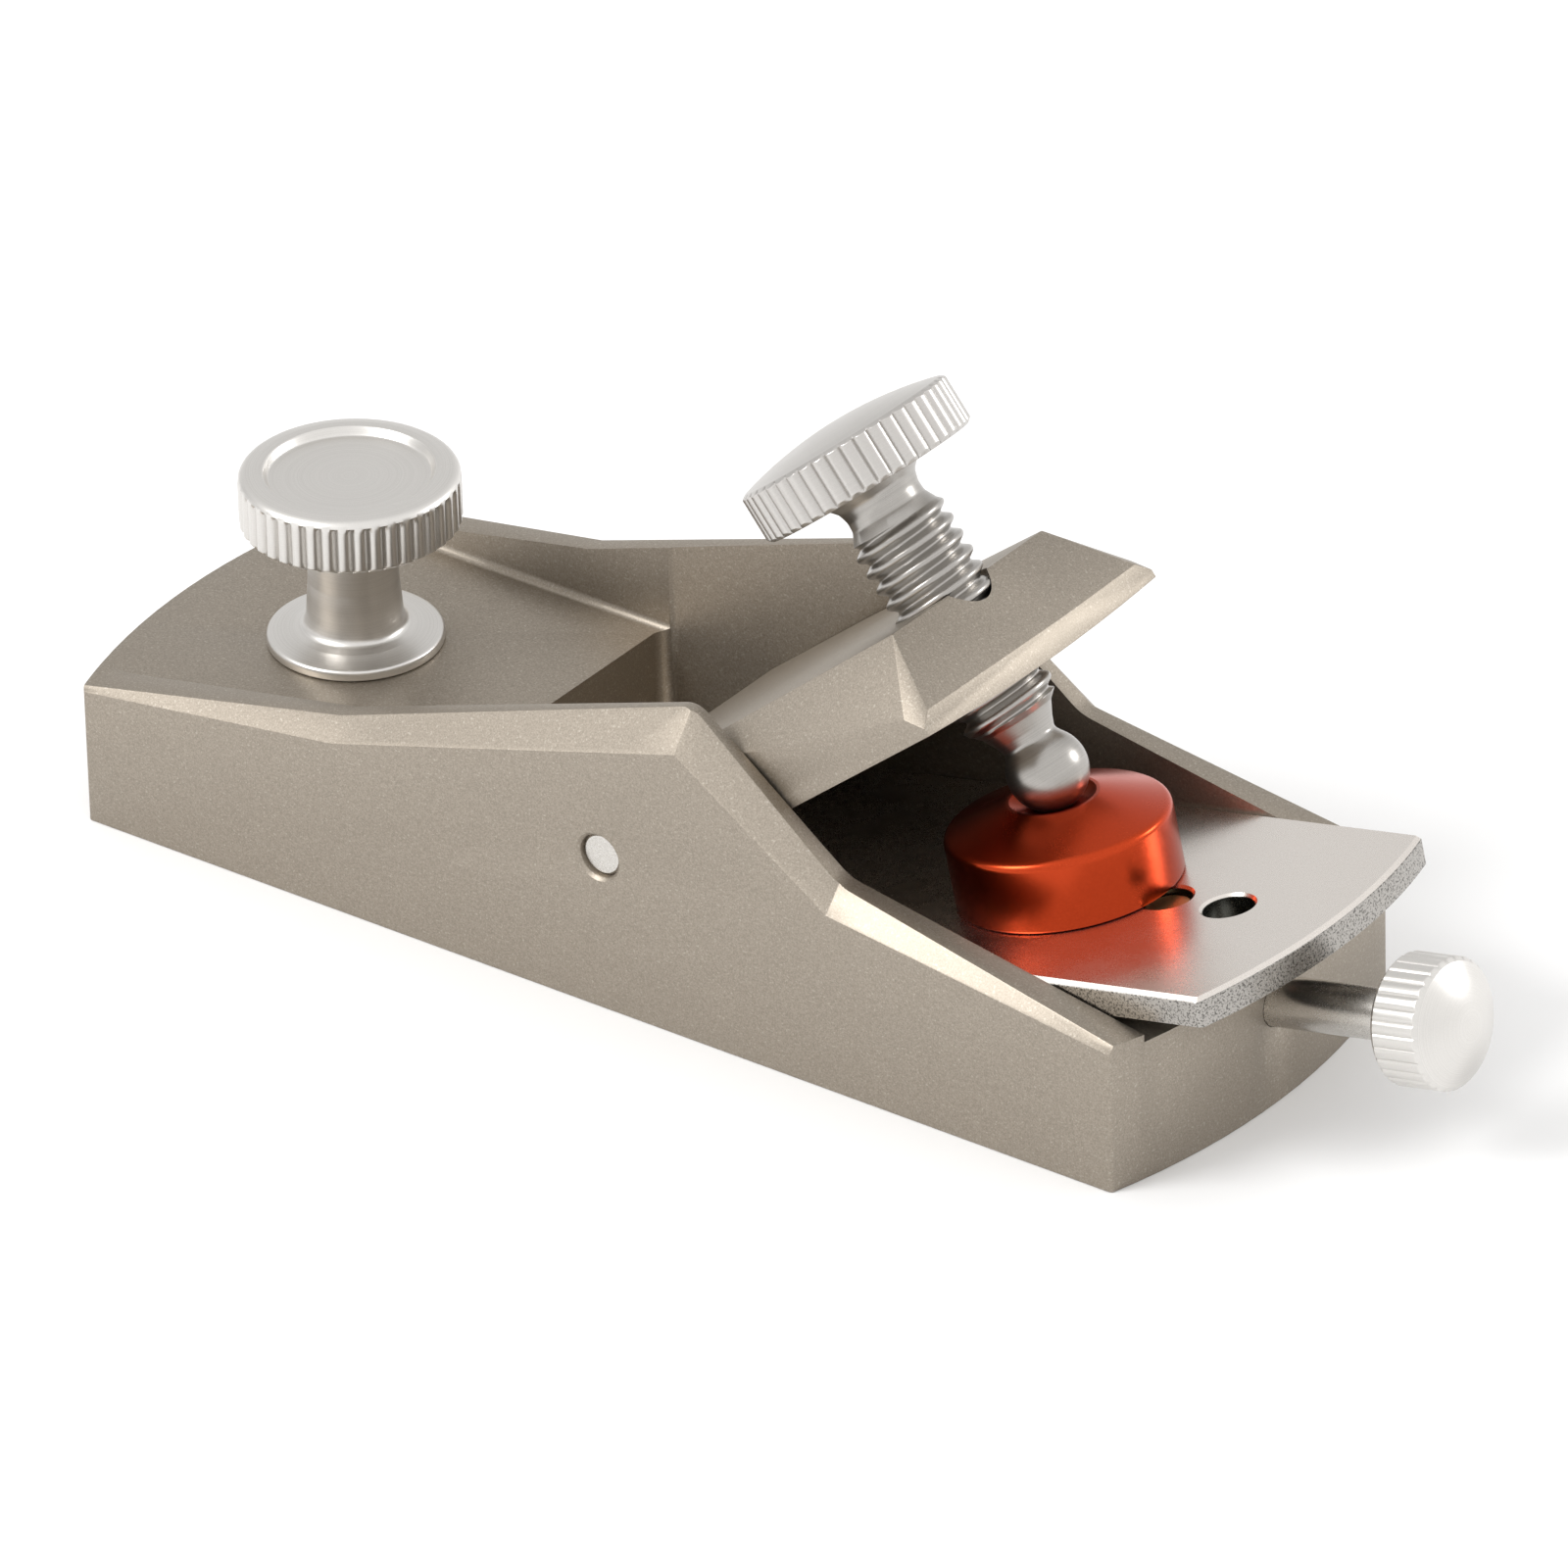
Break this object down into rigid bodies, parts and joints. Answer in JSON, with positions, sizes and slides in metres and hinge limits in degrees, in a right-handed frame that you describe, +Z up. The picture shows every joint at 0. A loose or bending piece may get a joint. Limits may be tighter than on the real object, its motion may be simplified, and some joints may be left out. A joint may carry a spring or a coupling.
{
  "type": "low-angle block plane",
  "caption": "Small low-angle hand plane with a screw-clamped lever cap, a turned front knob and a screw depth adjuster at the heel.",
  "frame": {"origin": "on the sole, midway between the side walls and midway between their toe and heel corners", "axes": "+X forward to the toe, +Y to the left side of the plane, +Z up from the sole"},
  "size_m": [0.1513, 0.045, 0.0628],
  "materials": {
    "body": "bead-blasted grey with a warm tint",
    "steel": "satin turned",
    "spring_steel": "dark satin",
    "blade": "ground satin with bright edges",
    "pad": "satin red anodised",
    "brass": "satin"
  },
  "bodies": {
    "body": {"body": "body", "cross_pin": "steel", "front_knob": "steel", "knob_stud": "steel"},
    "blade_carriage": {"blade": "blade", "adjuster_carriage": "brass", "drive_pin": "steel"},
    "adjuster": {"adjuster_spindle": "steel", "adjuster_knob": "steel", "thrust_washer": "steel", "retaining_clip": "spring_steel"},
    "lever_cap": {"lever_cap": "body"},
    "pressure_pad": {"pressure_pad": "pad"},
    "clamp_screw": {"clamp_screw": "steel"}
  },
  "joints": [
    {"name": "blade_depth", "type": "slide", "parent": "body", "child": "blade_carriage", "axis": [0.9781, 0, -0.2079], "range_m": [-0.002, 0.001]},
    {"name": "adjuster_turn", "type": "hinge", "parent": "blade_carriage", "child": "adjuster", "pos_m": [-0.0569, 0, 0.00931], "axis": [0.9781, 0, -0.2079], "range_deg": [-1440, 720]},
    {"name": "cap_pivot", "type": "hinge", "parent": "body", "child": "lever_cap", "pos_m": [-0.0015, 0, 0.0165], "axis": [0, -1, 0], "range_deg": [0, 2.5]},
    {"name": "clamp_travel", "type": "slide", "parent": "lever_cap", "child": "pressure_pad", "axis": [0.6293, 0, 0.7771], "range_m": [0, 0.00263]},
    {"name": "clamp_turn", "type": "hinge", "parent": "pressure_pad", "child": "clamp_screw", "pos_m": [-0.03795, 0, 0.02725], "axis": [0.6293, 0, 0.7771], "range_deg": [0, 540]}
  ],
  "couplings": [
    {"joint": "adjuster_turn", "follows": "blade_depth", "rad_per_m": 12566},
    {"joint": "clamp_turn", "follows": "clamp_travel", "rad_per_m": 3590.4},
    {"joint": "cap_pivot", "follows": "clamp_travel", "rad_per_m": 16.622}
  ]
}
